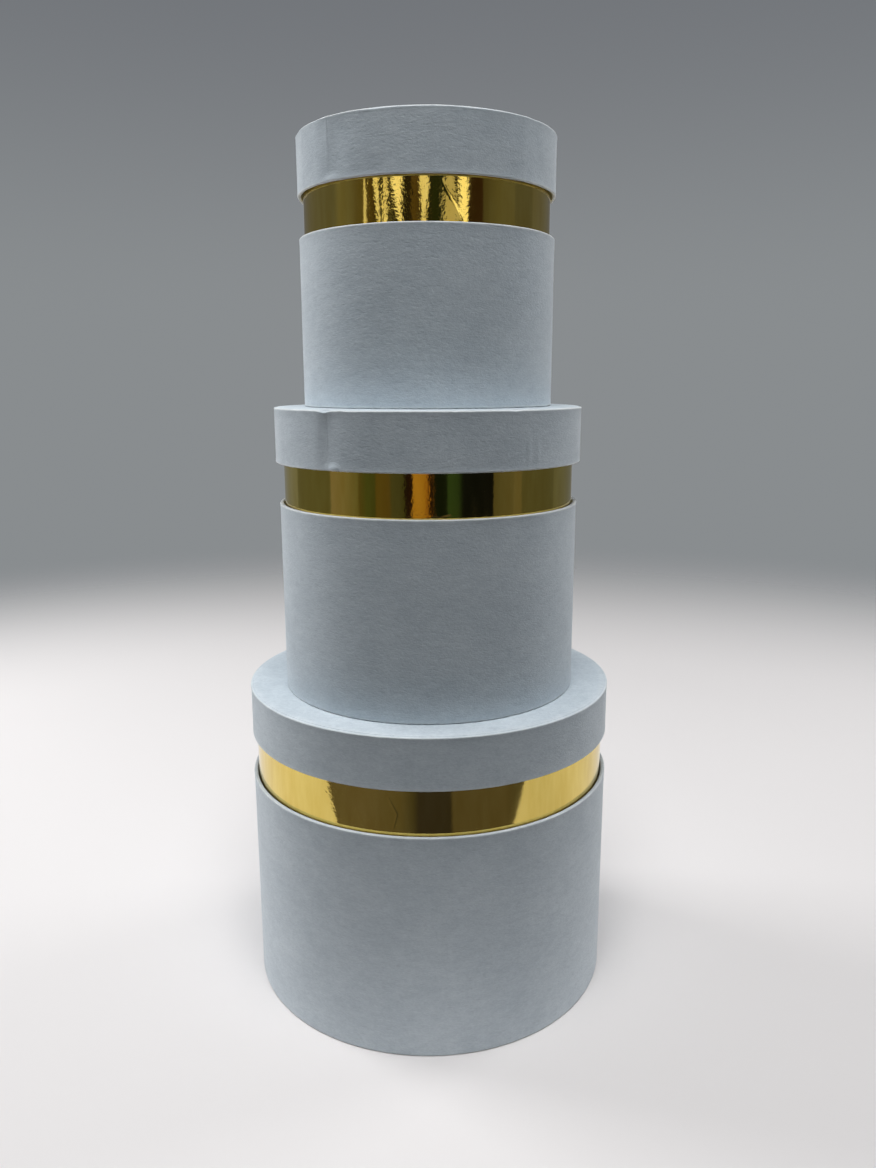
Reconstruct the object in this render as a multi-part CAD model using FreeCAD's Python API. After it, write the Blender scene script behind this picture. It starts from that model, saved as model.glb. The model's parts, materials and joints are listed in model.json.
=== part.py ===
"""A nesting set of three round hat boxes, stacked large, medium, small.

Each box is a paper-covered greyboard drum with an inner neck tube. The neck is faced with gold
foil paper and stands out of the drum, and a loose lid slides down over it until the neck's edge
meets the lid's ceiling. Every piece is turned about the axis of its own box.

Millimetres, +Z up. The origin is the centre of the large box's base, and -Y is the front.
"""
import FreeCAD, Part
import math
import os

# Boxes, from the bottom of the stack up. Radii and heights are outside sizes, and set_back is how
# far a box stands behind the large box's axis.
BOXES = {
    "large": {
        "body_radius": 110.0,
        "body_height": 132.0,
        "neck_show": 26.0,
        "lid_height": 30.0,
        "lid_clearance": 0.5,
        "set_back": 0.0,
    },
    "medium": {
        "body_radius": 87.0,
        "body_height": 109.5,
        "neck_show": 23.5,
        "lid_height": 31.0,
        "lid_clearance": 2.4,
        "set_back": -5.0,
    },
    "small": {
        "body_radius": 71.7,
        "body_height": 91.0,
        "neck_show": 22.0,
        "lid_height": 31.0,
        "lid_clearance": 1.0,
        "set_back": 0.0,
    },
}

# Sheet stock
BODY_BOARD = 2.0  # greyboard of the drum's wall
BASE_BOARD = 2.0  # greyboard of the base
NECK_BOARD = 1.5  # greyboard of the neck
LID_BOARD = 1.5  # greyboard of the lid's wall
ROOF_BOARD = 2.0  # greyboard of the lid's top
COVER_PAPER = 0.2
FOIL_PAPER = 0.2
LINING_PAPER = 0.2

# Assembly
NECK_GAP = 0.4  # glue gap between the neck's foil and the drum's turned-in cover
BODY_TURN_IN = 15.0  # cover paper turned in over the drum's top edge
BASE_TURN_UNDER = 15.0  # cover paper turned under the base
BASE_PAPER_MARGIN = 2.0  # bare rim round the paper disc under the base
FOIL_TUCK = 15.0  # foil hidden inside the drum, below its top edge
FOIL_TURN_IN = 14.0  # foil turned in over the neck's top edge
LID_TURN_OVER = 12.0  # cover paper turned over the lid's top edge
LID_TURN_IN = 18.0  # cover paper turned in at the lid's bottom edge
TOP_PAPER_MARGIN = 1.5  # bare rim round the paper disc on the lid
BOARD_ROUND = 0.5  # softened edges of the wrapped boards

Z_AXIS = FreeCAD.Vector(0, 0, 1)
ORIGIN = FreeCAD.Vector(0, 0, 0)


def towards(start, end, distance):
    """The point that distance along the line from start to end."""
    step = end - start
    return start + step * (distance / step.Length)


def turned(corners):
    """A solid of revolution about Z.

    corners go round the section as (radius, height) or (radius, height, rounding). Every corner is
    a right angle.
    """
    count = len(corners)
    places = [FreeCAD.Vector(corner[0], 0, corner[1]) for corner in corners]
    roundings = [corner[2] if len(corner) > 2 else 0.0 for corner in corners]
    spans = []  # where each corner's rounding starts and ends
    for i, place in enumerate(places):
        start = towards(place, places[i - 1], roundings[i])
        end = towards(place, places[(i + 1) % count], roundings[i])
        spans.append((start, end))
    edges = []
    for i, (start, end) in enumerate(spans):
        if roundings[i]:
            middle = places[i] + (start + end - places[i] * 2) * (1.0 - math.sqrt(0.5))
            edges.append(Part.Arc(start, middle, end).toShape())
        following = spans[(i + 1) % count][0]
        edges.append(Part.LineSegment(end, following).toShape())
    face = Part.Face(Part.Wire(edges))
    return face.revolve(ORIGIN, Z_AXIS, 360)


def disc(radius, low, high):
    """A plain disc on the Z axis, between two heights."""
    return Part.makeCylinder(radius, high - low, FreeCAD.Vector(0, 0, low))


def box_levels(size):
    """The heights that the pieces of one box share, from the underside of its base."""
    board_foot = 2 * COVER_PAPER
    floor_board = board_foot + BASE_BOARD
    body_top = size["body_height"]
    lid_bottom = body_top + size["neck_show"]
    lid_top = lid_bottom + size["lid_height"]
    roof_top = lid_top - 2 * COVER_PAPER
    roof_bottom = roof_top - ROOF_BOARD
    return {
        "board_foot": board_foot,
        "floor_board": floor_board,
        "floor": floor_board + LINING_PAPER,
        "body_top": body_top,
        "lid_bottom": lid_bottom,
        "lid_top": lid_top,
        "roof_top": roof_top,
        "roof_bottom": roof_bottom,
        "neck_top": roof_bottom - LINING_PAPER,
    }


def body_pieces(size, at):
    """The drum: wall, base, cover paper and base paper."""
    outer = size["body_radius"]
    board_outer = outer - COVER_PAPER
    board_inner = board_outer - BODY_BOARD
    cover_inner = board_inner - COVER_PAPER
    under = outer - BASE_TURN_UNDER
    top = at["body_top"]
    board_top = top - COVER_PAPER
    turn_end = top - BODY_TURN_IN
    cover_round = BOARD_ROUND + COVER_PAPER
    tube = turned([
        (board_inner, at["board_foot"]),
        (board_outer, at["board_foot"], BOARD_ROUND),
        (board_outer, board_top, BOARD_ROUND),
        (board_inner, board_top, BOARD_ROUND),
    ])
    wrap = turned([
        (under, COVER_PAPER),
        (outer, COVER_PAPER, cover_round),
        (outer, top, cover_round),
        (cover_inner, top, cover_round),
        (cover_inner, turn_end),
        (board_inner, turn_end),
        (board_inner, board_top, BOARD_ROUND),
        (board_outer, board_top, BOARD_ROUND),
        (board_outer, at["board_foot"], BOARD_ROUND),
        (under, at["board_foot"]),
    ])
    base_paper = turned([
        (0, 0),
        (outer - BASE_PAPER_MARGIN, 0),
        (outer - BASE_PAPER_MARGIN, COVER_PAPER),
        (under, COVER_PAPER),
        (under, at["board_foot"]),
        (0, at["board_foot"]),
    ])
    return {
        "body_tube": tube,
        "base_disc": disc(board_inner, at["board_foot"], at["floor_board"]),
        "body_wrap": wrap,
        "base_paper": base_paper,
    }


def neck_radius(size):
    """Outside radius of the foil on the neck."""
    return size["body_radius"] - 2 * COVER_PAPER - BODY_BOARD - NECK_GAP


def neck_pieces(size, at):
    """The neck: tube, gold foil, lining, and the paper on the floor."""
    outer = neck_radius(size)
    board_outer = outer - FOIL_PAPER
    board_inner = board_outer - NECK_BOARD
    foil_inner = board_inner - FOIL_PAPER
    top = at["neck_top"]
    board_top = top - FOIL_PAPER
    foil_low = at["body_top"] - FOIL_TUCK
    turn_end = top - FOIL_TURN_IN
    foil_round = BOARD_ROUND + FOIL_PAPER
    tube = turned([
        (board_inner, at["floor_board"]),
        (board_outer, at["floor_board"]),
        (board_outer, board_top, BOARD_ROUND),
        (board_inner, board_top, BOARD_ROUND),
    ])
    foil = turned([
        (board_outer, foil_low),
        (outer, foil_low),
        (outer, top, foil_round),
        (foil_inner, top, foil_round),
        (foil_inner, turn_end),
        (board_inner, turn_end),
        (board_inner, board_top, BOARD_ROUND),
        (board_outer, board_top, BOARD_ROUND),
    ])
    lining = turned([
        (board_inner - LINING_PAPER, at["floor"]),
        (board_inner, at["floor"]),
        (board_inner, turn_end),
        (board_inner - LINING_PAPER, turn_end),
    ])
    return {
        "neck_tube": tube,
        "neck_foil": foil,
        "neck_lining": lining,
        "floor_paper": disc(board_inner, at["floor_board"], at["floor"]),
    }


def lid_pieces(size, at):
    """The lid: wall, roof, cover paper, top paper and ceiling liner."""
    inner = neck_radius(size) + size["lid_clearance"]
    board_inner = inner + COVER_PAPER
    board_outer = board_inner + LID_BOARD
    outer = board_outer + COVER_PAPER
    over = outer - LID_TURN_OVER
    cover_top = at["lid_top"] - COVER_PAPER
    bottom = at["lid_bottom"]
    board_bottom = bottom + COVER_PAPER
    turn_end = bottom + LID_TURN_IN
    cover_round = BOARD_ROUND + COVER_PAPER
    ring = turned([
        (board_inner, board_bottom, BOARD_ROUND),
        (board_outer, board_bottom, BOARD_ROUND),
        (board_outer, at["roof_top"], BOARD_ROUND),
        (board_inner, at["roof_top"]),
    ])
    wrap = turned([
        (inner, turn_end),
        (inner, bottom, cover_round),
        (outer, bottom, cover_round),
        (outer, cover_top, cover_round),
        (over, cover_top),
        (over, at["roof_top"]),
        (board_outer, at["roof_top"], BOARD_ROUND),
        (board_outer, board_bottom, BOARD_ROUND),
        (board_inner, board_bottom, BOARD_ROUND),
        (board_inner, turn_end),
    ])
    top_paper = turned([
        (0, at["roof_top"]),
        (over, at["roof_top"]),
        (over, cover_top),
        (outer - TOP_PAPER_MARGIN, cover_top),
        (outer - TOP_PAPER_MARGIN, at["lid_top"]),
        (0, at["lid_top"]),
    ])
    return {
        "lid_ring": ring,
        "lid_disc": disc(board_inner, at["roof_bottom"], at["roof_top"]),
        "lid_wrap": wrap,
        "lid_top_paper": top_paper,
        "lid_liner": disc(board_inner, at["neck_top"], at["roof_bottom"]),
    }


def main():
    os.makedirs("parts", exist_ok=True)
    base = 0.0
    for box, size in BOXES.items():
        at = box_levels(size)
        pieces = body_pieces(size, at) | neck_pieces(size, at) | lid_pieces(size, at)
        for name, shape in pieces.items():
            shape.translate(FreeCAD.Vector(0, size["set_back"], base))
            shape.exportStep(f"parts/{box}_{name}.step")
        base += at["lid_top"]
    print(f"stack height {base:.1f} mm")


main()
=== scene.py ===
"""The look of a stack of three round hat boxes: papers, greyboard and gold foil on the CAD frame.

Metres, +Z up, -Y the front. Angles round a box are measured from its front, positive to the right.
"""
import json
import math

import bpy
import numpy as np
from mathutils import Matrix, Vector, noise


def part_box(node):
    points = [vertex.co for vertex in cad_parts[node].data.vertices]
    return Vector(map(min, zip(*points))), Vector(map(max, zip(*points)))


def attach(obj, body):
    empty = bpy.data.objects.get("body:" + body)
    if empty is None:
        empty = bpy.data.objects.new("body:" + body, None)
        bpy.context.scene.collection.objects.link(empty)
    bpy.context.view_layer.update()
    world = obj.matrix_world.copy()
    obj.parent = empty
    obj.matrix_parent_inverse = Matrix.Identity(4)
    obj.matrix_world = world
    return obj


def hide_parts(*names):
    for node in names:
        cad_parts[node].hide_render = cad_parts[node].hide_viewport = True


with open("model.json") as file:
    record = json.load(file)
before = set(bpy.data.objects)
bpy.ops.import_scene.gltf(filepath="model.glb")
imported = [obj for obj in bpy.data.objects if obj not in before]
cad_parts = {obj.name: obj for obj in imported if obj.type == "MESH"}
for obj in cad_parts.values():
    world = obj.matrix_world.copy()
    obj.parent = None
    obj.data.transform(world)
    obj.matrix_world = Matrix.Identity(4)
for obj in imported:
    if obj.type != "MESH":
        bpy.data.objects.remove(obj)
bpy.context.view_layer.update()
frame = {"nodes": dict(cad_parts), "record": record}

MM = 0.001
BOXES = ("large", "medium", "small")

# Papers and boards, where the frame's boxes don't give them
EDGE_ROUND = 0.5 * MM  # softened edge of a wrapped board
BODY_TURN_IN = 15 * MM
BASE_TURN_UNDER = 15 * MM
LID_TURN_IN = 18 * MM
LID_TURN_OVER = 12 * MM
FOIL_TURN_IN = 14 * MM
PAPER_LAP = 12 * MM  # overlap of a wrap's two ends
LAP_STEP = 0.12 * MM  # how far the upper end stands out
LAP_CUT = 0.2 * MM  # half the width of its cut edge
LAP_FADE = 5 * MM  # width of the soft rise on its other side
LIP_FLARE = 0.24 * MM  # how far a wrapped edge stands proud of its wall
LIP_REACH = 2.2 * MM
SHARP_ANGLE = 40  # degrees between faces, above which an edge is shaded sharp

# How strongly each box's wrapped edges are painted paler, from 0 to 1, and how far from an edge it
# fades out: partly rubbed wear, partly a painted highlight where the rounded edges catch the light
WEAR_AND_HIGHLIGHT_FADE = (0.4 * MM, 1.1 * MM)
EDGE_WEAR_AND_HIGHLIGHT = {"large": 0.45, "medium": 0.8, "small": 1.0}

# How far the drums and lids leave a true circle, and how far the lids' top edges dip
BODY_OVAL = {"large": 0.14 * MM, "medium": 0.12 * MM, "small": 0.10 * MM}
LID_WAVE = {"large": 0.10 * MM, "medium": 0.35 * MM, "small": 0.30 * MM}
LID_EDGE_DROP = {"large": 0.08 * MM, "medium": 0.14 * MM, "small": 0.26 * MM}

# How far paper stands off its board: puffs on a wall, puckers and waves along a turned edge
BODY_PUFFS = 0.05 * MM
BODY_PUCKER = 0.05 * MM
BODY_EDGE_RISE = 0.10 * MM
LID_PUFFS = 0.07 * MM
LID_PUCKER = 0.07 * MM
LID_TOP_SINK = 0.05 * MM

# Where the papers' laps are, in degrees
BODY_SEAM_ANGLE = {"large": 160, "medium": 172, "small": -168}
FOIL_SEAM_ANGLE = {"large": -150, "medium": 165, "small": 150}
LID_SEAM_ANGLE = {"large": 140, "medium": -36, "small": -44}

# Each part's first seed: the boxes take it and the next two
OVAL_SEED = 1
DRUM_SEED = 20
NECK_SEED = 40
LID_WALL_SEED = 60
LID_COVER_SEED = 80

# Mesh steps along a section's flat sides, at their ends and in their middle
BOARD_STEPS = (0.8 * MM, 12 * MM)
DRUM_COVER_STEPS = (0.5 * MM, 4 * MM)
FOIL_STEPS = (0.5 * MM, 5 * MM)
LID_BOARD_STEPS = (0.8 * MM, 4 * MM)
LID_COVER_STEPS = (0.45 * MM, 2 * MM)

# Mesh columns round each hoop, before the close-ups
BOARD_COLUMNS = 240
DRUM_COVER_COLUMNS = 360
BASE_COLUMNS = 180
FOIL_COLUMNS = 720
LID_BOARD_COLUMNS = 360
LID_COVER_COLUMNS = 420
LID_TOP_COLUMNS = 300


# ---------------------------------------------------------------- measures from the frame


class Hoop:
    """The axis, outside radius and heights of a round CAD node at rest."""

    def __init__(self, node):
        low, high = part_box(node)
        self.x = round((low.x + high.x) / 2, 4)
        self.y = round((low.y + high.y) / 2, 4)
        self.low = low.z
        self.high = high.z
        places = np.array([v.co for v in frame["nodes"][node].data.vertices])
        self.radius = float(np.hypot(places[:, 0] - self.x, places[:, 1] - self.y).max())


def hoops(box):
    """Every node of one box, by its short name."""
    start = box + "_"
    return {n.removeprefix(start): Hoop(n) for n in frame["nodes"] if n.startswith(start)}


# ---------------------------------------------------------------- uneven shapes


def wander(angles, seed, knots):
    """An uneven wave round a hoop, from -1 to 1: random heights at uneven angles, joined by
    nearly straight lines, as board bends between its stiff spots."""
    random = np.random.default_rng(seed)
    places = (np.arange(knots) + random.uniform(0.15, 0.85, knots)) * 2 * math.pi / knots
    heights = random.uniform(-1, 1, knots)
    blur = np.radians((-5, -2.5, 0, 2.5, 5))
    waves = [np.interp(angles + b, places, heights, period=2 * math.pi) for b in blur]
    return sum(waves) / len(blur)


def rough(angles, heights, radius, wide, tall, seed):
    """Smooth noise on a hoop's wall, from about -1 to 1. wide and tall are the size of its lumps
    round the hoop and up it."""
    x = radius * np.sin(angles) / wide
    y = -radius * np.cos(angles) / wide
    z = heights / tall + 17.3 * seed
    flat = [noise.noise((a, b, c)) for a, b, c in zip(x.ravel(), y.ravel(), z.ravel())]
    return np.array(flat).reshape(x.shape)


def apart(angles, centre):
    """Signed angle from centre, in radians, from -pi to pi."""
    return (angles - math.radians(centre) + math.pi) % (2 * math.pi) - math.pi


def bump(distance, width):
    """A smooth bump, 1 at distance 0."""
    return np.exp(-((distance / width) ** 2))


def ease(value, low, high):
    """0 below low, 1 above high, and smooth between them."""
    t = np.clip((value - low) / (high - low), 0, 1)
    return t * t * (3 - 2 * t)


def lap(angles, radius, centre):
    """Where one end of a paper lies over the other: a cut edge on one side, a soft rise on the
    other."""
    along = -apart(angles, centre) * radius
    return LAP_STEP * ease(along, -LAP_CUT, LAP_CUT) * ease(PAPER_LAP - along, 0, LAP_FADE)


def on_outside(radius, board, paper):
    """1 on the outer skin of a paper, 0 on the skin against its board. board and paper are their
    outside radii."""
    sheet = paper - board
    return ease(radius, board + 0.3 * sheet, paper - 0.2 * sheet)


def lip(distance):
    """How far a wall stands out at that distance from its wrapped edge."""
    return LIP_FLARE * np.exp(-np.clip(distance, 0, None) / LIP_REACH)


# ---------------------------------------------------------------- meshes


def graded(length, fine, coarse):
    """Places along a side, from 0 to its length: fine steps at both ends, coarse in the middle."""
    places = [0.0]
    while places[-1] < length / 2:
        places.append(places[-1] + min(coarse, fine + 0.3 * places[-1]))
    half = np.array([p for p in places if p < length / 2 - fine / 2])
    return np.concatenate([half, [length / 2], length - half[:0:-1]])


def section(corners, fine, coarse):
    """Points round a closed section, as an array of (radius, height).

    corners are (radius, height), every one a right angle or straight on. A third number rounds the
    corner, with six points. Steps along a flat side grow from fine at its ends to coarse in its
    middle, and a fourth number is the coarse step of the side that starts there.
    """
    places = [np.array(c[:2], float) for c in corners]
    count = len(corners)
    points = []
    sides = {}  # the coarse step of each flat side, by the number of its first point
    for i, (place, corner) in enumerate(zip(places, corners)):
        rounding = corner[2] if len(corner) > 2 else 0.0
        back = places[i - 1] - place
        ahead = places[(i + 1) % count] - place
        back = back / np.linalg.norm(back)
        ahead = ahead / np.linalg.norm(ahead)
        if rounding:
            centre = place + (back + ahead) * rounding
            for turn in np.linspace(0, math.pi / 2, 6):
                away = ahead * rounding * math.cos(turn)
                points.append(centre - away - back * rounding * math.sin(turn))
        else:
            points.append(place)
        sides[len(points) - 1] = corner[3] if len(corner) > 3 else coarse
    filled = []
    for i, point in enumerate(points):
        filled.append(point)
        step = points[(i + 1) % len(points)] - point
        length = float(np.linalg.norm(step))
        if i in sides and length > 2 * fine:
            for along in graded(length, fine, sides[i])[1:]:
                filled.append(point + step * along / length)
    return np.array(filled)


def around(count, *close_ups):
    """Angles round a hoop, evenly spaced, with more of them where a close-up (degrees from,
    degrees to, count) asks for it."""
    angles = np.linspace(-180, 180, count, endpoint=False)
    for start, end, more in close_ups:
        angles = angles[(angles < start) | (angles > end)]
        angles = np.concatenate([angles, np.linspace(start, end, more)])
    return np.radians(np.sort(angles))


def lap_close_up(centre, radius):
    """The close-up that a lap's cut edge needs."""
    reach = math.degrees(0.5 * MM / radius)
    return centre - reach, centre + reach, 9


def mesh_piece(name, shape, body, slot, node):
    """A smooth mesh of vertices and faces, which rides on a body and stands for a CAD node."""
    vertices, faces = shape
    mesh = bpy.data.meshes.new(name)
    mesh.from_pydata(vertices.tolist(), [], faces)
    mesh.validate()
    mesh.shade_smooth()
    mesh.set_sharp_from_angle(angle=math.radians(SHARP_ANGLE))
    mesh.materials.append(MATERIALS[slot])
    piece = bpy.data.objects.new(name, mesh)
    bpy.context.scene.collection.objects.link(piece)
    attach(piece, body)
    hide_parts(node)
    return piece


def turned(hoop, points, angles, shift):
    """Vertices and faces of a ring, turned from a closed section, each point moved by shift.

    shift takes arrays of angle, radius and height and returns how far to move out and up.
    """
    a, radius = np.meshgrid(angles, points[:, 0], indexing="ij")
    height = np.broadcast_to(points[:, 1], a.shape)
    out, up = shift(a, radius, height)
    r = radius + out
    x = hoop.x + r * np.sin(a)
    y = hoop.y - r * np.cos(a)
    vertices = np.stack([x, y, height + up], -1).reshape(-1, 3)
    rows, columns = a.shape
    first = np.arange(rows)[:, None] * columns
    after = (np.arange(rows)[:, None] + 1) % rows * columns
    here = np.arange(columns)[None, :]
    beside = (here + 1) % columns
    corners = np.stack([first + here, after + here, after + beside, first + beside], -1)
    return vertices, corners.reshape(-1, 4).tolist()


def sheet_disc(hoop, steps, angles, shift):
    """Vertices and faces of a closed disc whose upper and lower skins are rings of the given
    radii. steps are (radius, height) from the middle of the lower skin round to the middle of the
    upper one, without the two middle points."""
    points = np.array(steps)
    vertices, faces = turned(hoop, points, angles, shift)
    columns = len(points)
    faces = [f for k, f in enumerate(faces) if k % columns != columns - 1]
    lower = len(vertices)
    middle = [[hoop.x, hoop.y, points[0, 1]], [hoop.x, hoop.y, points[-1, 1]]]
    vertices = np.concatenate([vertices, middle])
    rows = len(angles)
    for i in range(rows):
        j = (i + 1) % rows
        faces.append([lower, j * columns, i * columns])
        faces.append([lower + 1, i * columns + columns - 1, j * columns + columns - 1])
    return vertices, faces


# ---------------------------------------------------------------- materials


def feed(tree, node, inputs):
    """Sets a node's inputs. Each is a value, or a socket to link from."""
    for key, value in inputs.items():
        if isinstance(value, bpy.types.NodeSocket):
            tree.links.new(value, node.inputs[key])
        else:
            node.inputs[key].default_value = value


def add(tree, kind, inputs=None, **settings):
    """A shader node, with its inputs fed."""
    made = tree.nodes.new(kind)
    for key, value in settings.items():
        setattr(made, key, value)
    feed(tree, made, inputs or {})
    return made


def blank_material(name):
    """An empty material: its node tree and its Principled shader, already on the output."""
    material = bpy.data.materials.new(name)
    material.use_nodes = True
    tree = material.node_tree
    tree.nodes.clear()
    shader = add(tree, "ShaderNodeBsdfPrincipled")
    add(tree, "ShaderNodeOutputMaterial", {"Surface": shader.outputs["BSDF"]})
    return material, tree, shader


def object_place(tree, scale=(1, 1, 1)):
    """Object coordinates in metres, stretched."""
    place = add(tree, "ShaderNodeTexCoord").outputs["Object"]
    made = add(tree, "ShaderNodeMapping", {"Vector": place, "Scale": scale})
    return made.outputs["Vector"]


def grain(tree, place, size, detail=2.0, roughness=0.5):
    """Noise from 0 to 1 with lumps of that size, in metres."""
    inputs = {"Vector": place, "Scale": 1 / size, "Detail": detail, "Roughness": roughness}
    return add(tree, "ShaderNodeTexNoise", inputs).outputs["Fac"]


def calc(tree, operation, *values):
    """A maths node's result."""
    return add(tree, "ShaderNodeMath", dict(enumerate(values)), operation=operation).outputs[0]


def blend(tree, first, *others):
    """first plus the others, each of which is (value, weight)."""
    total = first
    for value, weight in others:
        total = calc(tree, "ADD", total, calc(tree, "MULTIPLY", value, weight))
    return total


def remap(tree, value, low, high, to_low, to_high):
    """value stretched from one range to another, and held inside it."""
    made = add(tree, "ShaderNodeMapRange", {"Value": value, "From Min": low, "From Max": high})
    feed(tree, made, {"To Min": to_low, "To Max": to_high})
    return made.outputs["Result"]


def smooth(tree, value, low, high):
    """0 below low, 1 above high, and smooth between them."""
    inputs = {"Value": value, "From Min": low, "From Max": high}
    made = add(tree, "ShaderNodeMapRange", inputs, interpolation_type="SMOOTHSTEP")
    return made.outputs["Result"]


def mix_colour(tree, share, first, second):
    """first where share is 0, second where it is 1."""
    made = add(tree, "ShaderNodeMix", data_type="RGBA")
    feed(tree, made, {0: share, 6: first, 7: second})  # the numbers of its colour sockets
    return made.outputs[2]


def set_bump(tree, shader, height, distance, strength):
    """A bump on the shader, where a height of 1 stands for that distance."""
    inputs = {"Height": height, "Distance": distance, "Strength": strength}
    made = add(tree, "ShaderNodeBump", inputs)
    feed(tree, shader, {"Normal": made.outputs["Normal"]})


# Colours of the papers and the board, and the pair between which each is mottled
COVER_TINTS = ((0.505, 0.58, 0.64, 1), (0.645, 0.72, 0.775, 1))
COVER_STROKE = (0.42, 0.475, 0.53, 1)
# Colour painted on the wrapped edges: partly rubbed wear, partly a painted highlight
COVER_RUBBED_AND_LIT = (0.84, 0.87, 0.88, 1)
FOIL_TINTS = ((0.73, 0.54, 0.13, 1), (0.79, 0.61, 0.17, 1))
BOARD_TINTS = ((0.36, 0.33, 0.285, 1), (0.50, 0.47, 0.41, 1))
BOARD_SPECK = (0.17, 0.16, 0.16, 1)
LINING_TINTS = ((0.78, 0.78, 0.75, 1), (0.85, 0.85, 0.83, 1))
# Height of each one's bump
COVER_BUMP = 0.15 * MM
FOIL_BUMP = 0.037 * MM
BOARD_BUMP = 0.08 * MM
LINING_BUMP = 0.05 * MM


def cover_paper():
    """Pale powder-blue cover paper: felt-like and faintly cloudy, with short fibres that lie along
    the wall, and edges painted paler, partly rubbed and partly a painted highlight."""
    material, tree, shader = blank_material("cover_paper")
    place = object_place(tree)
    along = object_place(tree, (1, 1, 2.4))
    cloud = grain(tree, place, 32 * MM, 3.0)
    patch = grain(tree, along, 8 * MM, 4.0, 0.6)
    felt = grain(tree, along, 1.9 * MM, 4.0, 0.65)
    tooth = grain(tree, place, 0.5 * MM, 2.0)
    strokes = grain(tree, object_place(tree, (1, 1, 4.5)), 5 * MM, 2.0, 0.6)
    stroke = remap(tree, strokes, 0.60, 0.74, 0, 0.3)
    mottle = blend(tree, calc(tree, "MULTIPLY", cloud, 0.25), (patch, 0.3), (felt, 0.45))
    tint = mix_colour(tree, remap(tree, mottle, 0.38, 0.62, 0, 1), *COVER_TINTS)
    streaky = mix_colour(tree, stroke, tint, COVER_STROKE)
    # The lip attribute marks the wrapped edges, which are painted paler: partly rubbed wear,
    # partly a painted highlight where the rounded edges catch the light
    worn_and_lit = add(tree, "ShaderNodeAttribute", attribute_name="lip").outputs["Fac"]
    rub_and_highlight = calc(tree, "MULTIPLY", worn_and_lit, remap(tree, patch, 0.35, 0.65, 0.6, 1.0))
    looks = {
        "Base Color": mix_colour(tree, rub_and_highlight, streaky, COVER_RUBBED_AND_LIT),
        "Roughness": remap(tree, felt, 0.3, 0.7, 0.78, 0.95),
        "Specular IOR Level": 0.35,
        "Sheen Weight": 0.35,
        "Sheen Roughness": 0.45,
    }
    feed(tree, shader, looks)
    height = blend(tree, felt, (tooth, 0.22), (patch, 0.9), (stroke, -0.8))
    set_bump(tree, shader, height, COVER_BUMP, 1.0)
    return material


def gold_foil():
    """Gold foil paper: mirror-like, with the paper's fine tooth in it, hammered where crumpled."""
    material, tree, shader = blank_material("gold_foil")
    place = object_place(tree)
    crumple = add(tree, "ShaderNodeAttribute", attribute_name="crumple").outputs["Fac"]
    hammered = grain(tree, place, 1.5 * MM, 1.5, 0.5)
    fine = grain(tree, place, 0.6 * MM, 1.0)
    waves = grain(tree, place, 7 * MM, 1.0)
    rubbed = grain(tree, object_place(tree, (1, 1, 0.2)), 5 * MM, 3.0)
    looks = {
        "Base Color": mix_colour(tree, remap(tree, rubbed, 0.35, 0.65, 0, 1), *FOIL_TINTS),
        "Metallic": 1.0,
        "Roughness": remap(tree, rubbed, 0.3, 0.75, 0.04, 0.09),
    }
    feed(tree, shader, looks)
    dents = calc(tree, "MULTIPLY", crumple, blend(tree, hammered, (fine, 0.2)))
    set_bump(tree, shader, blend(tree, dents, (waves, 0.12)), FOIL_BUMP, 1.0)
    return material


def greyboard():
    """Recycled greyboard: brownish grey, with dark specks and short fibres."""
    material, tree, shader = blank_material("greyboard")
    place = object_place(tree)
    pulp = grain(tree, place, 5 * MM, 4.0, 0.65)
    fibre = grain(tree, object_place(tree, (1, 1, 3)), 0.9 * MM, 3.0)
    tint = mix_colour(tree, remap(tree, pulp, 0.35, 0.65, 0, 1), *BOARD_TINTS)
    specks = remap(tree, grain(tree, place, 1.3 * MM, 1.0), 0.66, 0.74, 0, 0.6)
    looks = {
        "Base Color": mix_colour(tree, specks, tint, BOARD_SPECK),
        "Roughness": remap(tree, fibre, 0.3, 0.7, 0.85, 0.98),
    }
    feed(tree, shader, looks)
    set_bump(tree, shader, calc(tree, "ADD", fibre, pulp), BOARD_BUMP, 0.6)
    return material


def lining_paper():
    """Plain off-white lining paper with a faint laid grain."""
    material, tree, shader = blank_material("lining_paper")
    cloud = grain(tree, object_place(tree), 22 * MM, 3.0)
    fibre = grain(tree, object_place(tree, (1, 1, 2)), 0.8 * MM, 3.0)
    looks = {
        "Base Color": mix_colour(tree, remap(tree, cloud, 0.35, 0.65, 0, 1), *LINING_TINTS),
        "Roughness": remap(tree, fibre, 0.3, 0.7, 0.7, 0.9),
    }
    feed(tree, shader, looks)
    set_bump(tree, shader, calc(tree, "ADD", fibre, cloud), LINING_BUMP, 0.5)
    return material


# By material slot
MATERIALS = {
    "cover_paper": cover_paper(),
    "gold_foil": gold_foil(),
    "greyboard": greyboard(),
    "lining_paper": lining_paper(),
}


def mark_lips(piece, hoop, edges, wear):
    """Stores how near each point is to an edge (radius, height), times how strongly the edges are
    painted paler, for rubbed edges and a painted highlight.
    """
    places = np.array([v.co for v in piece.data.vertices])
    radius = np.hypot(places[:, 0] - hoop.x, places[:, 1] - hoop.y)
    near = np.zeros(len(places))
    for edge_radius, edge_height in edges:
        distance = np.hypot(radius - edge_radius, places[:, 2] - edge_height)
        near = np.maximum(near, 1 - ease(distance, *WEAR_AND_HIGHLIGHT_FADE))
    stored = piece.data.attributes.new("lip", "FLOAT", "POINT")
    stored.data.foreach_set("value", (near * wear).astype(np.float32))


# ---------------------------------------------------------------- the drum of each box


def body_shift(box, lip_height=None):
    """How the drum and its neck leave the true circle: a slight oval and stiff spots, and for the
    drum a lip that stands proud round its top."""
    seed = OVAL_SEED + BOXES.index(box)

    def shift(angles, radius, height):
        out = 0.5 * BODY_OVAL[box] * (np.cos(2 * angles + seed) + wander(angles, seed, 11))
        if lip_height:
            out = out + lip(lip_height - height)
        return out, np.zeros_like(angles)

    return shift


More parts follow.
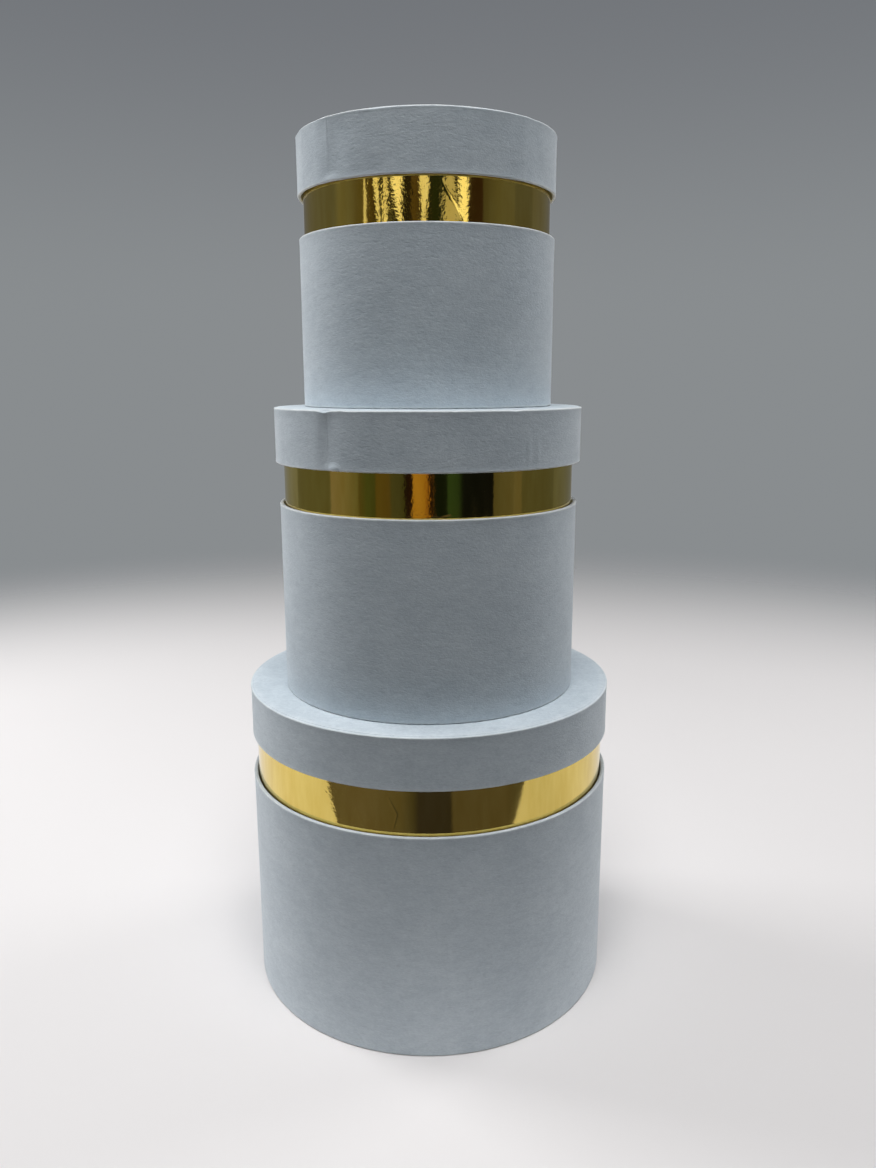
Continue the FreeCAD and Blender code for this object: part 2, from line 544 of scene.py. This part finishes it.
def drum(box, at):
    """Board, cover paper and base paper of one box's drum."""
    body = box + "_box"
    tube, wrap, base = at["body_tube"], at["body_wrap"], at["base_paper"]
    paper = wrap.radius - tube.radius
    inner = at["base_disc"].radius
    seam = BODY_SEAM_ANGLE[box]
    shift = body_shift(box, wrap.high)
    seed = DRUM_SEED + BOXES.index(box)

    board_section = section(
        [
            (inner, tube.low),
            (tube.radius, tube.low, EDGE_ROUND),
            (tube.radius, tube.high, EDGE_ROUND),
            (inner, tube.high, EDGE_ROUND),
        ],
        *BOARD_STEPS,
    )
    board = turned(tube, board_section, around(BOARD_COLUMNS), shift)
    mesh_piece(box + "_drum_board", board, body, "greyboard", box + "_body_tube")

    cover_round = EDGE_ROUND + paper
    under = wrap.radius - BASE_TURN_UNDER
    turn_end = wrap.high - BODY_TURN_IN
    cover_section = section(
        [
            (under, wrap.low),
            (wrap.radius, wrap.low, cover_round),
            (wrap.radius, wrap.high, cover_round),
            (inner - paper, wrap.high, cover_round),
            (inner - paper, turn_end),
            (inner, turn_end),
            (inner, tube.high, EDGE_ROUND),
            (tube.radius, tube.high, EDGE_ROUND),
            (tube.radius, tube.low, EDGE_ROUND),
            (under, tube.low),
        ],
        *DRUM_COVER_STEPS,
    )

    def cover_shift(angles, radius, height):
        out, up = shift(angles, radius, height)
        outside = on_outside(radius, tube.radius, wrap.radius)
        puffs = BODY_PUFFS * rough(angles, height, wrap.radius, 26 * MM, 30 * MM, seed)
        top_lip = ease(height, wrap.high - 1.5 * MM, wrap.high - 0.2 * MM)
        pucker = BODY_PUCKER * rough(angles, height, wrap.radius, 5 * MM, 50 * MM, seed + 5)
        rise = BODY_EDGE_RISE * (wander(angles, seed, 17) + 1) / 2
        out = out + outside * (np.abs(puffs) + lap(angles, wrap.radius, seam))
        return out, up + top_lip * (np.abs(pucker) + rise)

    angles = around(DRUM_COVER_COLUMNS, lap_close_up(seam, wrap.radius))
    sheet = turned(wrap, cover_section, angles, cover_shift)
    cover = mesh_piece(box + "_drum_cover", sheet, body, "cover_paper", box + "_body_wrap")
    lips = [(wrap.radius, wrap.high), (inner, wrap.high), (wrap.radius, wrap.low)]
    mark_lips(cover, wrap, lips, EDGE_WEAR_AND_HIGHLIGHT[box])

    steps = [(r, base.low) for r in np.linspace(0.1, 1, 9) * base.radius]
    steps += [(base.radius, base.low + paper), (under, base.low + paper), (under, base.high)]
    steps += [(r, base.high) for r in np.linspace(0.9, 0.1, 8) * under]
    sheet = sheet_disc(base, steps, around(BASE_COLUMNS), lambda a, r, z: (0 * a, 0 * a))
    foot = mesh_piece(box + "_base_sheet", sheet, body, "cover_paper", box + "_base_paper")
    mark_lips(foot, base, [(base.radius, base.low)], EDGE_WEAR_AND_HIGHLIGHT[box])


# ---------------------------------------------------------------- the neck


def crease(angles, height, radius, start, end, depth, width):
    """A sharp fold line in the foil from start to end, each (degrees, height)."""
    along = apart(angles, start[0]) * radius
    reach = math.radians(end[0] - start[0]) * radius
    rise = end[1] - start[1]
    length = math.hypot(reach, rise)
    t = (along * reach + (height - start[1]) * rise) / length**2
    distance = np.abs(along * rise - (height - start[1]) * reach) / length
    ends = ease(t, -0.05, 0.1) * ease(1 - t, -0.05, 0.1)
    return depth * np.exp(-distance / width) * ends


# Folds in each neck's foil: (degrees, share of the band's height) at each end, and depth in mm
FOLDS = {
    "large": [
        ((-22, 0.55), (-19, 0.10), 0.10),
        ((-19.5, 0.50), (-17, 0.28), 0.08),
        ((-34, 0.85), (-31, 0.66), 0.03),
        ((-11.8, 0.82), (-9.2, 0.45), 0.18),
        ((-9.2, 0.45), (-10.4, 0.12), 0.14),
    ],
    "medium": [
        ((0.5, 0.03), (2.5, 0.10), 0.06),
        ((2.5, 0.10), (4.5, 0.04), 0.06),
        ((4.0, 0.07), (8.0, 0.12), 0.05),
    ],
    "small": [((6.0, 0.90), (15.0, 0.02), 0.12), ((-12.5, 0.90), (-17.0, 0.45), 0.04)],
}
# Where each foil is crumpled: degrees from and to, and how much
CRUMPLED = {"large": (-32, -8, 0.5), "medium": (-11, 3, 0.7), "small": (-27, 19, 1.0)}
CRUMPLE_ELSEWHERE = 0.2
CRUMPLE_COLUMNS = 0.040 * MM  # height of its upright ridges
CRUMPLE_LUMPS = 0.011 * MM  # height of its small lumps
FOLD_WIDTH = 0.4 * MM
FOIL_LIFT = 0.05 * MM  # how far the foil stands off its board everywhere
FOIL_SWELL = 0.035 * MM
BAND_STEP = 0.5 * MM  # mesh step up the band that shows
BAND_MARGIN = 1 * MM  # how far that step goes on past the band
CRUMPLE_STEP = 0.3 * MM  # mesh step round the crumpled stretch


def crumple_share(box, angles):
    """How crumpled a foil is, from 0 to 1."""
    start, end, most = CRUMPLED[box]
    inside = ease(apart(angles, start), 0, math.radians(2))
    inside = inside * ease(-apart(angles, end), 0, math.radians(2))
    return CRUMPLE_ELSEWHERE + (most - CRUMPLE_ELSEWHERE) * inside


def neck(box, at):
    """Board and gold foil of one box's neck."""
    body = box + "_box"
    tube, foil = at["neck_tube"], at["neck_foil"]
    inner = at["floor_paper"].radius
    paper = foil.radius - tube.radius
    band_low = at["body_wrap"].high
    band_high = at["lid_wrap"].low
    shift = body_shift(box)
    seed = NECK_SEED + BOXES.index(box)
    seam = FOIL_SEAM_ANGLE[box]

    board_section = section(
        [
            (inner, tube.low),
            (tube.radius, tube.low),
            (tube.radius, tube.high, EDGE_ROUND),
            (inner, tube.high, EDGE_ROUND),
        ],
        *BOARD_STEPS,
    )
    board = turned(tube, board_section, around(BOARD_COLUMNS), shift)
    mesh_piece(box + "_neck_board", board, body, "greyboard", box + "_neck_tube")

    foil_round = EDGE_ROUND + paper
    turn_end = foil.high - FOIL_TURN_IN
    foil_section = section(
        [
            (tube.radius, foil.low),
            (foil.radius, foil.low),
            (foil.radius, band_low - BAND_MARGIN, 0, BAND_STEP),
            (foil.radius, band_high + BAND_MARGIN),
            (foil.radius, foil.high, foil_round),
            (inner - paper, foil.high, foil_round),
            (inner - paper, turn_end),
            (inner, turn_end),
            (inner, tube.high, EDGE_ROUND),
            (tube.radius, tube.high, EDGE_ROUND),
        ],
        *FOIL_STEPS,
    )

    def on_band(place):
        """(degrees, share of the band's height) with the share turned into a height."""
        degrees, level = place
        return degrees, band_low + level * (band_high - band_low)

    def foil_shift(angles, radius, height):
        out, up = shift(angles, radius, height)
        outside = on_outside(radius, tube.radius, foil.radius)
        share = crumple_share(box, angles)
        swell = FOIL_SWELL * rough(angles, height, foil.radius, 17 * MM, 90 * MM, seed)
        columns = CRUMPLE_COLUMNS * rough(angles, height, foil.radius, 5 * MM, 22 * MM, seed + 1)
        lumps = CRUMPLE_LUMPS * rough(angles, height, foil.radius, 2.2 * MM, 3.2 * MM, seed + 2)
        folds = 0 * angles
        for start, end, depth in FOLDS[box]:
            ends = (on_band(start), on_band(end))
            folds = folds + crease(angles, height, foil.radius, *ends, depth * MM, FOLD_WIDTH)
        raised = FOIL_LIFT + swell + share * (columns + lumps) + folds
        return out + outside * (raised + 0.5 * lap(angles, foil.radius, seam)), up

    start, end, _ = CRUMPLED[box]
    close_up = (start, end, round(math.radians(end - start) * foil.radius / CRUMPLE_STEP))
    angles = around(FOIL_COLUMNS, close_up, lap_close_up(seam, foil.radius))
    sleeve = turned(foil, foil_section, angles, foil_shift)
    piece = mesh_piece(box + "_neck_gold", sleeve, body, "gold_foil", box + "_neck_foil")
    share = np.repeat(crumple_share(box, angles), len(foil_section))
    stored = piece.data.attributes.new("crumple", "FLOAT", "POINT")
    stored.data.foreach_set("value", share.astype(np.float32))


# ---------------------------------------------------------------- the lid


# Dents and swellings in each lid's wall: degrees, share of its height, reach to the left, to the
# right and up in mm, and depth in mm, positive outwards
LID_MARKS = {
    "large": [
        (-12, 0.98, 3.0, 3.0, 1.5, 0.12),
        (24, 0.20, 14.0, 14.0, 9.0, 0.12),
        (-62, 0.50, 9.0, 9.0, 25.0, -0.10),
    ],
    "medium": [
        (-36.0, 0.45, 4.5, 9.0, 26.0, -0.95),
        (-30.5, 0.70, 1.2, 3.0, 8.0, 0.12),
        (-33.5, 0.04, 4.0, 3.0, 1.8, 0.90),
        (36.0, 0.28, 0.8, 0.8, 7.0, 0.20),
        (40.0, 0.24, 0.9, 0.9, 6.0, 0.22),
        (-56.0, 0.50, 1.0, 1.0, 16.0, 0.06),
        (-60.0, 0.50, 1.2, 1.2, 18.0, 0.06),
    ],
    "small": [
        (-40.0, 0.55, 3.6, 8.0, 18.0, -0.55),
        (-42.0, 0.03, 4.5, 4.5, 1.6, 0.45),
        (5.0, 0.90, 10.0, 10.0, 5.0, 0.15),
        (52.0, 0.40, 5.0, 5.0, 12.0, -0.12),
    ],
}
# Nicks in each lid's top edge: degrees, half width in mm, and drop in mm
LID_NICKS = {
    "large": [(-14, 2.0, 0.12), (-47, 3.0, 0.15)],
    "medium": [
        (-37, 3.0, 0.80),
        (-30, 2.0, -0.25),
        (9, 1.5, 0.20),
        (14, 1.2, 0.16),
        (30, 3.0, 0.30),
    ],
    "small": [
        (-72, 6.0, 0.35),
        (-52, 4.0, 0.25),
        (-20, 7.0, 0.35),
        (18, 9.0, 0.25),
        (50, 3.0, 0.25),
    ],
}
# The small lid's outline has flat stretches that meet at these angles
LID_CORNERS = {"large": (), "medium": (), "small": (-80, -66, -52, -16, 3, 18, 43, 72)}
CORNER_STAND_OUT = 0.35 * MM
CORNER_REACH = 7 * MM


def lid_shift(box, ring):
    """How the lid's wall leaves the true circle. The clearance round the neck limits it."""
    seed = LID_WALL_SEED + BOXES.index(box)
    tall_ring = ring.high - ring.low

    def shift(angles, radius, height):
        share = (height - ring.low) / tall_ring
        loose = 1 - 0.75 * np.clip(share, 0, 1)
        oval = 0.6 * wander(angles, seed, 13) + 0.4 * np.cos(2 * angles + seed)
        out = LID_WAVE[box] * loose * oval
        wall = ease(radius, ring.radius - 30 * MM, ring.radius - 4 * MM)
        for degrees, level, left, right, tall, depth in LID_MARKS[box]:
            along = apart(angles, degrees) * ring.radius
            near = bump(along, np.where(along < 0, left, right) * MM)
            near = near * bump(height - ring.low - level * tall_ring, tall * MM)
            out = out + depth * MM * near * wall
        for degrees in LID_CORNERS[box]:
            distance = np.abs(apart(angles, degrees)) * ring.radius
            out = out + CORNER_STAND_OUT * np.exp(-distance / CORNER_REACH) * wall
        out = out * ease(1 - share, -0.3, 0.25)
        lips = lip(ring.high - height) + 0.8 * lip(2 * (height - ring.low))
        return out + lips * wall, np.zeros_like(angles)

    return shift


def lid(box, at):
    """Board, cover paper and top paper of one box's lid."""
    body = box + "_lid"
    ring, wrap, top = at["lid_ring"], at["lid_wrap"], at["lid_top_paper"]
    inner = at["lid_disc"].radius
    paper = wrap.radius - ring.radius
    seam = LID_SEAM_ANGLE[box]
    shift = lid_shift(box, ring)
    seed = LID_COVER_SEED + BOXES.index(box)

    def edge_drop(angles, radius, height):
        """Unevenness of the top edge, which dies away towards the roof board."""
        drop = -LID_EDGE_DROP[box] * (wander(angles, seed, 19) + 1)
        for degrees, wide, depth in LID_NICKS[box]:
            drop = drop - depth * MM * bump(apart(angles, degrees) * wrap.radius, wide * MM)
        rim = ease(radius, inner + 0.3 * MM, wrap.radius - 0.6 * MM)
        return drop * rim * ease(height, wrap.high - 5 * MM, wrap.high - 0.4 * MM)

    def board_shift(angles, radius, height):
        out, up = shift(angles, radius, height)
        return out, up + edge_drop(angles, radius, height)

    board_section = section(
        [
            (inner, ring.low, EDGE_ROUND),
            (ring.radius, ring.low, EDGE_ROUND),
            (ring.radius, ring.high, EDGE_ROUND),
            (inner, ring.high),
        ],
        *LID_BOARD_STEPS,
    )
    board = turned(ring, board_section, around(LID_BOARD_COLUMNS), board_shift)
    mesh_piece(box + "_lid_board", board, body, "greyboard", box + "_lid_ring")

    cover_round = EDGE_ROUND + paper
    over = wrap.radius - LID_TURN_OVER
    turn_end = wrap.low + LID_TURN_IN
    cover_section = section(
        [
            (inner - paper, turn_end),
            (inner - paper, wrap.low, cover_round),
            (wrap.radius, wrap.low, cover_round),
            (wrap.radius, wrap.high, cover_round),
            (over, wrap.high),
            (over, ring.high),
            (ring.radius, ring.high, EDGE_ROUND),
            (ring.radius, ring.low, EDGE_ROUND),
            (inner, ring.low, EDGE_ROUND),
            (inner, turn_end),
        ],
        *LID_COVER_STEPS,
    )

    def cover_shift(angles, radius, height):
        out, up = shift(angles, radius, height)
        outside = on_outside(radius, ring.radius, wrap.radius)
        puffs = LID_PUFFS * rough(angles, height, wrap.radius, 20 * MM, 22 * MM, seed)
        lower_lip = 1 - ease(height, wrap.low + 0.2 * MM, wrap.low + 1.6 * MM)
        pucker = LID_PUCKER * rough(angles, height, wrap.radius, 6 * MM, 50 * MM, seed + 3)
        out = out + outside * (np.abs(puffs) + lap(angles, wrap.radius, seam))
        up = up + edge_drop(angles, radius, height) - lower_lip * np.abs(pucker)
        return out, up

    angles = around(LID_COVER_COLUMNS, lap_close_up(seam, wrap.radius))
    sheet = turned(wrap, cover_section, angles, cover_shift)
    cover = mesh_piece(box + "_lid_cover", sheet, body, "cover_paper", box + "_lid_wrap")
    lips = [(wrap.radius, wrap.high), (wrap.radius, wrap.low), (inner, wrap.low)]
    mark_lips(cover, wrap, lips, EDGE_WEAR_AND_HIGHLIGHT[box])

    steps = [(r, top.low) for r in np.linspace(0.1, 1, 8) * over]
    steps += [(over, top.high - paper), (top.radius, top.high - paper)]
    steps += [(top.radius - 0.05 * MM, top.high - 0.04 * MM), (top.radius - 0.2 * MM, top.high)]
    skin = np.linspace(0.995, 0.1, 30) * top.radius
    steps += [(r, top.high) for r in skin[skin < top.radius - 0.4 * MM]]

    def top_shift(angles, radius, height):
        upper = ease(height, top.high - 0.5 * paper, top.high)
        waves = rough(angles, radius, radius.max(), 25 * MM, 25 * MM, seed + 7)
        sink = LID_TOP_SINK * (waves - 1)
        return 0 * angles, sink * upper * ease(radius, 0, 0.3 * top.radius)

    sheet = sheet_disc(top, steps, around(LID_TOP_COLUMNS), top_shift)
    roof = mesh_piece(box + "_lid_top_sheet", sheet, body, "cover_paper", box + "_lid_top_paper")
    mark_lips(roof, top, [(top.radius, top.high)], 0.5 * EDGE_WEAR_AND_HIGHLIGHT[box])


for box in BOXES:
    at = hoops(box)
    drum(box, at)
    neck(box, at)
    lid(box, at)

# The nodes that no piece replaces show their own meshes in these materials
for part in frame["record"]["subparts"]:
    carried = frame["nodes"][part["node"]]
    carried.data.materials.clear()
    carried.data.materials.append(MATERIALS[part["material_slot"]])


# ---------------------------------------------------------------- studio


def stage_mesh(name, vertices, faces, material):
    """A mesh that isn't part of the object."""
    mesh = bpy.data.meshes.new(name)
    mesh.from_pydata(vertices, [], faces)
    mesh.materials.append(material)
    piece = bpy.data.objects.new(name, mesh)
    bpy.context.scene.collection.objects.link(piece)
    return piece


CARD_EDGE = -0.235  # y of the dark front card's near edge, at x = 0
FLOOR_REACH = 1.7
FLOOR_FADE = (0.65, 1.6)  # distances from the stack where the floor starts and ends its fade
FLOOR_TINTS = ((0.815, 0.79, 0.785, 1), (0.85, 0.825, 0.82, 1))


def floor():
    """A plain pale floor that fades into the light of the room."""
    material, tree, shader = blank_material("floor")
    place = object_place(tree)
    cloud = grain(tree, place, 0.4, 2.0)
    colour = mix_colour(tree, cloud, *FLOOR_TINTS)
    feed(tree, shader, {"Base Color": colour, "Roughness": 1.0, "Specular IOR Level": 0.0})
    distance = add(tree, "ShaderNodeVectorMath", {0: place}, operation="LENGTH").outputs["Value"]
    fade = smooth(tree, distance, *FLOOR_FADE)
    clear = add(tree, "ShaderNodeBsdfTransparent")
    shaders = {0: fade, 1: shader.outputs[0], 2: clear.outputs[0]}
    mixed = add(tree, "ShaderNodeMixShader", shaders)
    output = next(node for node in tree.nodes if node.type == "OUTPUT_MATERIAL")
    feed(tree, output, {"Surface": mixed.outputs[0]})
    # The part in front, under the dark card, looks the same but throws no light on the stack
    left, right = -FLOOR_REACH, FLOOR_REACH
    floors = {"floor": (CARD_EDGE, FLOOR_REACH), "floor_front": (-FLOOR_REACH, CARD_EDGE)}
    for name, (near, far) in floors.items():
        corners = [(left, near, 0), (right, near, 0), (right, far, 0), (left, far, 0)]
        piece = stage_mesh(name, corners, [(0, 1, 2, 3)], material)
        piece.visible_diffuse = name == "floor"


def glow(name):
    """A material that gives off the colour stored in the mesh."""
    material = bpy.data.materials.new(name)
    material.use_nodes = True
    tree = material.node_tree
    tree.nodes.clear()
    stored = add(tree, "ShaderNodeAttribute", attribute_name="glow")
    light = add(tree, "ShaderNodeEmission", {"Color": stored.outputs["Color"]})
    add(tree, "ShaderNodeOutputMaterial", {"Surface": light.outputs["Emission"]})
    return material


def reflected_card(name, vertices, faces, colours):
    """A glowing card that only mirror-like surfaces see, so it shapes nothing but reflections."""
    piece = stage_mesh(name, vertices, faces, glow(name + "_glow"))
    stored = piece.data.color_attributes.new("glow", "FLOAT_COLOR", "POINT")
    stored.data.foreach_set("color", np.array(colours, np.float32).ravel())
    piece.visible_camera = False
    piece.visible_diffuse = False
    piece.visible_shadow = False
    piece.visible_transmission = False
    piece.visible_volume_scatter = False


ROOM_RADIUS = 2.0
ROOM_FOOT = -0.02
ROOM_TOP = 2.4
# Painted reflections: the colour that the glowing wall shows the foil round the room, by azimuth
# in degrees from the front. The colour runs evenly
# # from one stop to the next, and two stops close together make a hard edge.
LOW_STOPS = [
    (-180, (0.55, 0.55, 0.54)),
    (-166, (0.50, 0.50, 0.49)),
    (-164, (0.20, 0.21, 0.21)),
    (-121, (0.19, 0.205, 0.20)),
    (-120, (0.115, 0.12, 0.09)),
    (-79, (0.105, 0.11, 0.08)),
    (-78, (0.215, 0.19, 0.165)),
    (-66, (0.19, 0.175, 0.13)),
    (-54, (0.135, 0.135, 0.085)),
    (-52.5, (0.09, 0.08, 0.035)),
    (-46, (0.062, 0.078, 0.03)),
    (-39.5, (0.058, 0.07, 0.03)),
    (-38.5, (0.10, 0.078, 0.025)),
    (-29, (0.095, 0.072, 0.028)),
    (-27, (0.065, 0.07, 0.046)),
    (-17.5, (0.05, 0.055, 0.035)),
    (-16.5, (0.015, 0.009, 0.010)),
    (-11.5, (0.02, 0.010, 0.010)),
    (-10.5, (0.42, 0.235, 0.05)),
    (-2, (0.36, 0.20, 0.045)),
    (1, (0.27, 0.12, 0.03)),
    (2, (0.012, 0.008, 0.008)),
    (4, (0.012, 0.008, 0.008)),
    (4.5, (0.10, 0.05, 0.02)),
    (5.5, (0.006, 0.010, 0.008)),
    (13.5, (0.007, 0.012, 0.009)),
    (14.5, (0.028, 0.060, 0.030)),
    (22, (0.022, 0.046, 0.024)),
    (26, (0.005, 0.007, 0.010)),
    (49, (0.006, 0.007, 0.011)),
    (50, (0.092, 0.088, 0.065)),
    (67, (0.112, 0.106, 0.082)),
    (68, (0.135, 0.125, 0.10)),
    (74.5, (0.135, 0.125, 0.10)),
    (75.5, (0.093, 0.096, 0.077)),
    (112, (0.090, 0.095, 0.078)),
    (113, (0.125, 0.135, 0.125)),
    (150, (0.14, 0.15, 0.14)),
    (164, (0.20, 0.20, 0.19)),
    (166, (0.50, 0.50, 0.49)),
    (180, (0.55, 0.55, 0.54)),
]
HIGH_STOPS = [
    (-180, (0.50, 0.50, 0.50)),
    (-166, (0.45, 0.45, 0.45)),
    (-164, (0.14, 0.145, 0.15)),
    (-92, (0.115, 0.12, 0.12)),
    (-91, (0.115, 0.12, 0.12)),
    (-85, (0.16, 0.16, 0.13)),
    (-74, (0.14, 0.14, 0.115)),
    (-66, (0.11, 0.10, 0.07)),
    (-57, (0.10, 0.085, 0.035)),
    (-50, (0.07, 0.05, 0.02)),
    (-46, (0.05, 0.045, 0.02)),
    (-20, (0.018, 0.016, 0.010)),
    (-14, (0.022, 0.018, 0.012)),
    (-12, (0.10, 0.070, 0.030)),
    (-6, (0.060, 0.045, 0.022)),
    (2, (0.020, 0.022, 0.014)),
    (8, (0.018, 0.026, 0.012)),
    (14, (0.016, 0.020, 0.012)),
    (39, (0.030, 0.018, 0.010)),
    (50, (0.035, 0.020, 0.012)),
    (51, (0.075, 0.070, 0.050)),
    (66, (0.115, 0.115, 0.09)),
    (84, (0.120, 0.122, 0.11)),
    (86, (0.095, 0.098, 0.095)),
    (109, (0.095, 0.098, 0.095)),
    (111, (0.120, 0.124, 0.13)),
    (164, (0.13, 0.135, 0.14)),
    (166, (0.45, 0.45, 0.45)),
    (180, (0.50, 0.50, 0.50)),
]
# Painted highlights: bright glowing bars high up on the wall, which the small neck's crumpled foil
# breaks up: azimuths of their two sides
# # at their foot and at their head, and their strength
PAINTED_HIGHLIGHT_BARS = [
    ((-57.5, -55.0), (-56.5, -55.0), 0.85),
    ((-43.5, -41.5), (-49, -42), 1.0),
    ((-38.5, -33.5), (-38, -36.5), 1.0),
    ((-22.5, -20.5), (-32.5, -22), 1.2),
    ((-3.5, -0.5), (-7, 1.5), 0.95),
    ((13.5, 28), (16, 23), 0.55),
    ((31, 35), (27, 38), 1.35),
]
BAR_FOOT = 0.74
BAR_HEAD = 0.87
HIGHLIGHT_BAR_COLOUR = (1.0, 0.95, 0.80)
LOW_UP_TO = 0.40  # up to this height the wall has the colours of LOW_STOPS
CHANGE_OVER = 0.20  # over this much more height they turn into those of HIGH_STOPS


def stop_colour(stops, azimuth):
    """The colour at an azimuth among stops."""
    azimuths = [stop[0] for stop in stops]
    channels = zip(*[stop[1] for stop in stops])
    return np.array([np.interp(azimuth, azimuths, channel) for channel in channels])


def painted_reflection_colour(azimuth, height):
    """The painted reflection colour of the glowing wall at that azimuth and height."""
    share = min(max((height - LOW_UP_TO) / CHANGE_OVER, 0), 1)
    low = stop_colour(LOW_STOPS, azimuth)
    high = stop_colour(HIGH_STOPS, azimuth)
    level = min(max((height - BAR_FOOT) / (BAR_HEAD - BAR_FOOT), 0), 1)
    for foot, head, strength in PAINTED_HIGHLIGHT_BARS:
        left, right = (foot[k] + (head[k] - foot[k]) * level for k in (0, 1))
        if left < azimuth < right:
            high = np.array(HIGHLIGHT_BAR_COLOUR) * strength
    return low + (high - low) * share


def room():
    """A round glowing wall with bands of painted light and dark on it, which only the foil's
    reflections see.
    """
    azimuths = np.linspace(-180, 180, 1440, endpoint=False)
    lower = [ROOM_FOOT, LOW_UP_TO, LOW_UP_TO + CHANGE_OVER]
    across_bars = np.linspace(BAR_FOOT - 0.04, BAR_HEAD + 0.05, 12)
    heights = np.concatenate([lower, across_bars, [ROOM_TOP / 2, ROOM_TOP]])
    vertices = []
    colours = []
    for azimuth in azimuths:
        turn = math.radians(azimuth)
        for height in heights:
            vertices.append((ROOM_RADIUS * math.sin(turn), -ROOM_RADIUS * math.cos(turn), height))
            colours.append((*painted_reflection_colour(azimuth, height), 1))
    columns, rows = len(azimuths), len(heights)
    faces = []
    for i in range(columns):
        j = (i + 1) % columns
        for k in range(rows - 1):
            faces.append((i * rows + k, j * rows + k, j * rows + k + 1, i * rows + k + 1))
    reflected_card("painted_reflection_wall", vertices, faces, colours)


# A dark glowing card on the floor in front, which only reflections see: it paints the dark
# reflection in the large neck's foil
CARD_SLOPE = -0.045  # how the y of its near edge changes with x
CARD_FAR = 1.9  # distance of its far edge
CARD_REACH = 78  # degrees to either side
# Painted reflection colours across the card, by azimuth in degrees
CARD_STOPS = [
    (-78, (0.125, 0.115, 0.105)),
    (-36, (0.130, 0.115, 0.105)),
    (-16, (0.105, 0.095, 0.080)),
    (-9, (0.065, 0.062, 0.055)),
    (-6, (0.036, 0.033, 0.042)),
    (11, (0.034, 0.031, 0.036)),
    (12.5, (0.092, 0.082, 0.072)),
    (42, (0.096, 0.086, 0.076)),
    (56, (0.066, 0.062, 0.050)),
    (78, (0.060, 0.055, 0.045)),
]


def painted_dark_reflection_card():
    """A painted dark reflection: a card on the floor in front of the stack that only reflections
    see, with painted streaks that run away from it.
    """
    vertices = []
    colours = []
    for azimuth in np.linspace(-CARD_REACH, CARD_REACH, 320):
        turn = math.radians(azimuth)
        across, ahead = math.sin(turn), -math.cos(turn)
        near = CARD_EDGE / (ahead - CARD_SLOPE * across)
        for distance in (near, CARD_FAR):
            vertices.append((across * distance, ahead * distance, 0.5 * MM))
            colours.append((*stop_colour(CARD_STOPS, azimuth), 1))
    faces = [(k, k + 1, k + 3, k + 2) for k in range(0, len(vertices) - 2, 2)]
    reflected_card("painted_dark_reflection_card", vertices, faces, colours)


def soft_light(name, place, target, size, power):
    """A square softbox that faces a point, itself out of sight."""
    lamp = bpy.data.lights.new(name, "AREA")
    lamp.shape = "SQUARE"
    lamp.size = size
    lamp.energy = power
    piece = bpy.data.objects.new(name, lamp)
    bpy.context.scene.collection.objects.link(piece)
    piece.location = place
    aim = Vector(target) - Vector(place)
    piece.rotation_mode = "QUATERNION"
    piece.rotation_quaternion = aim.to_track_quat("-Z", "Y")
    piece.visible_camera = False
    piece.visible_glossy = False


# Softboxes: place, the point each one faces, side and power
SOFTBOXES = {
    "overhead_softbox": ((0.0, -0.39, 1.72), (0, -0.1, 0.2), 0.55, 18.5),
    "left_softbox": ((-1.25, 0.55, 0.9), (0, 0, 0.25), 0.62, 12.1),
    "right_softbox": ((1.35, 0.65, 0.9), (0, 0, 0.25), 0.62, 6.6),
}
# Light from the room itself, from low down and high up, behind the stack and in front of it
ROOM_BACK = ((0.25, 0.265, 0.275, 1), (0.165, 0.175, 0.19, 1))
ROOM_FRONT = ((0.07, 0.07, 0.07, 1), (0.035, 0.035, 0.035, 1))
# Where a direction's z turns it from low to high, and its y from front to back
LOW_TO_HIGH = (0.06, 0.40)
FRONT_TO_BACK = (-0.5, 0.5)


def lights():
    """Softboxes, in a room that is paler behind the stack than in front of it."""
    for name, (place, target, size, power) in SOFTBOXES.items():
        soft_light(name, place, target, size, power)
    world = bpy.data.worlds.new("studio")
    bpy.context.scene.world = world
    world.use_nodes = True
    tree = world.node_tree
    tree.nodes.clear()
    direction = add(tree, "ShaderNodeTexCoord").outputs["Generated"]
    split = add(tree, "ShaderNodeSeparateXYZ", {"Vector": direction})
    high = smooth(tree, split.outputs["Z"], *LOW_TO_HIGH)
    behind = smooth(tree, split.outputs["Y"], *FRONT_TO_BACK)
    back = mix_colour(tree, high, *ROOM_BACK)
    front = mix_colour(tree, high, *ROOM_FRONT)
    colour = mix_colour(tree, behind, front, back)
    light = add(tree, "ShaderNodeBackground", {"Color": colour})
    add(tree, "ShaderNodeOutputWorld", {"Surface": light.outputs["Background"]})


CAMERA_PLACE = (0.0009, -0.5514, 0.366)
CAMERA_PITCH = 12.447  # degrees down
CAMERA_YAW = 0.493  # degrees to the right
CAMERA_ROLL = -0.156  # degrees anticlockwise
FOCAL_LENGTH = 28.32  # mm, on a sensor 36 mm wide


def camera():
    """A camera close in front of the stack, above its middle and looking slightly down."""
    pitch = math.radians(CAMERA_PITCH)
    yaw = math.radians(CAMERA_YAW)
    roll = math.radians(CAMERA_ROLL)
    lens = bpy.data.cameras.new("camera")
    lens.sensor_width = 36
    lens.lens = FOCAL_LENGTH
    lens.clip_start = 0.01
    lens.clip_end = 50
    piece = bpy.data.objects.new("camera", lens)
    bpy.context.scene.collection.objects.link(piece)
    aim = Matrix.Rotation(-yaw, 4, "Z") @ Matrix.Rotation(math.pi / 2 - pitch, 4, "X")
    turn = aim @ Matrix.Rotation(roll, 4, "Z")
    piece.matrix_world = Matrix.Translation(CAMERA_PLACE) @ turn
    bpy.context.scene.camera = piece


floor()
room()
painted_dark_reflection_card()
lights()
camera()
bpy.context.scene.view_settings.view_transform = "Standard"

bpy.context.view_layer.update()
